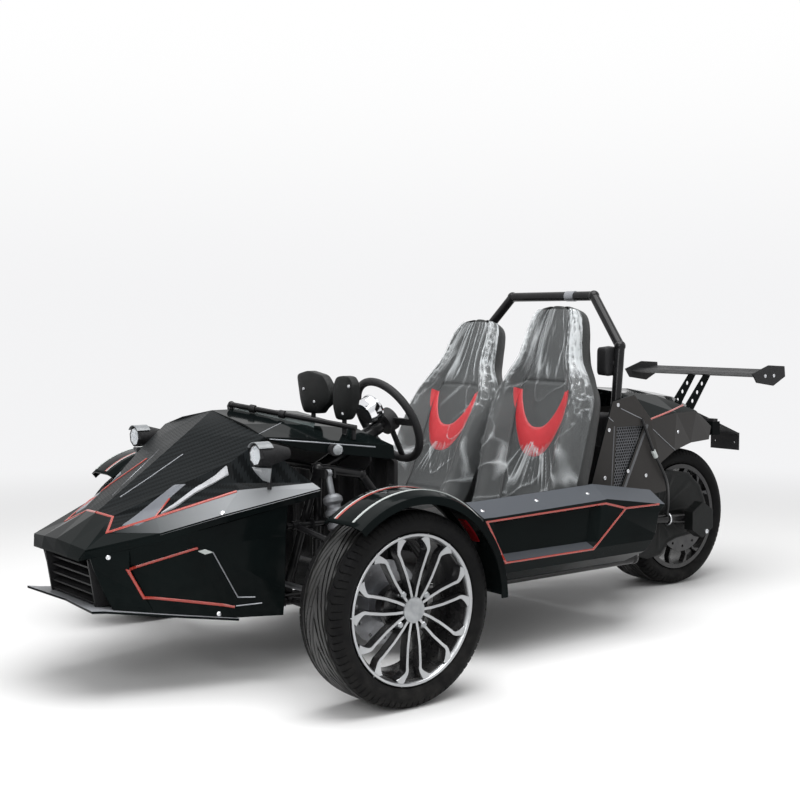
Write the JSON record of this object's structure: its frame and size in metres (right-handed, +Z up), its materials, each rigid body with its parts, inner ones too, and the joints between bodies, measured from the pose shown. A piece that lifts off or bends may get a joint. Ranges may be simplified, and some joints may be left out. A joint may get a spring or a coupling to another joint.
{
  "type": "reverse trike",
  "caption": "Open two-seat reverse trike: steered front wheels on wishbones, single driven rear wheel, faceted gloss black body with red outlines, bucket seats, roll hoop and rear wing.",
  "frame": {"origin": "on the ground under the middle of the overall length and width", "axes": "+X forward along the length, +Y to the left, +Z up"},
  "size_m": [3.28, 1.774, 1.274],
  "materials": {
    "body_gloss": "gloss black moulded panels",
    "frame_paint": "gloss black paint on steel tube",
    "matte_black": "black moulded plastic",
    "tyre": "black road tyre",
    "rim": "machined faces with black pockets",
    "steel": "bare and plated steel",
    "leather": "dark grained upholstery with red inserts under clear film",
    "lens": "clear lens",
    "mesh": "perforated sheet",
    "lamp_red": "red lens",
    "chrome": "polished rim"
  },
  "bodies": {
    "chassis": {"nose_cowl": "body_gloss", "hood": "body_gloss", "nose_sides": "body_gloss", "dash_cowl": "body_gloss", "sills": "body_gloss", "quarter_panels": "body_gloss", "tail_fairing": "body_gloss", "rear_wing": "body_gloss", "wing_stays": "body_gloss", "chassis_frame": "frame_paint", "front_hoop": "frame_paint", "cowl_rail": "frame_paint", "steering_column": "frame_paint", "roll_hoop": "frame_paint", "swing_arm": "frame_paint", "wishbones": "frame_paint", "floor_pan": "matte_black", "front_grille": "matte_black", "splitter": "matte_black", "dash_panel": "matte_black", "headlamps": "matte_black", "mirrors": "matte_black", "tail_flap": "matte_black", "hub_cover": "matte_black", "steering_rack": "steel", "engine": "steel", "muffler": "steel", "front_shocks": "steel", "seat_left": "leather", "seat_right": "leather", "lamp_lenses": "lens", "mesh_inserts": "mesh", "rear_lamps": "lamp_red", "gauge_pod": "chrome"},
    "knuckle_left": {"knuckle_left": "steel", "fender_left": "body_gloss"},
    "knuckle_right": {"knuckle_right": "steel", "fender_right": "body_gloss"},
    "wheel_left": {"tyre_left": "tyre", "rim_left": "rim", "disc_left": "steel"},
    "wheel_right": {"tyre_right": "tyre", "rim_right": "rim", "disc_right": "steel"},
    "wheel_rear": {"tyre_rear": "tyre", "rim_rear": "rim", "disc_rear": "steel"},
    "steering_wheel": {"steering_wheel": "matte_black"},
    "rack": {"tie_rods": "steel"}
  },
  "joints": [
    {"name": "steer_left", "type": "hinge", "parent": "chassis", "child": "knuckle_left", "pos_m": [0.88, 0.6555, 0.298], "axis": [0, 0, 1], "range_deg": [-30, 30]},
    {"name": "steer_right", "type": "hinge", "parent": "chassis", "child": "knuckle_right", "pos_m": [0.88, -0.6555, 0.298], "axis": [0, 0, 1], "range_deg": [-30, 30]},
    {"name": "steering_wheel_turn", "type": "hinge", "parent": "chassis", "child": "steering_wheel", "pos_m": [0.542, 0.28, 0.814], "axis": [-0.891, 0, 0.454], "range_deg": [-270, 270]},
    {"name": "rack_slide", "type": "slide", "parent": "chassis", "child": "rack", "axis": [0, 1, 0], "range_m": [-0.0601, 0.0601]},
    {"name": "spin_left", "type": "hinge", "parent": "knuckle_left", "child": "wheel_left", "pos_m": [0.88, 0.76, 0.298], "axis": [0, 1, 0], "continuous": true},
    {"name": "spin_right", "type": "hinge", "parent": "knuckle_right", "child": "wheel_right", "pos_m": [0.88, -0.76, 0.298], "axis": [0, 1, 0], "continuous": true},
    {"name": "spin_rear", "type": "hinge", "parent": "chassis", "child": "wheel_rear", "pos_m": [-1.2, 0, 0.298], "axis": [0, 1, 0], "continuous": true}
  ],
  "couplings": [
    {"joint": "steer_right", "follows": "steer_left", "ratio": 1},
    {"joint": "steering_wheel_turn", "follows": "steer_left", "ratio": 9},
    {"joint": "rack_slide", "follows": "steer_left", "m_per_rad": 0.11459}
  ]
}
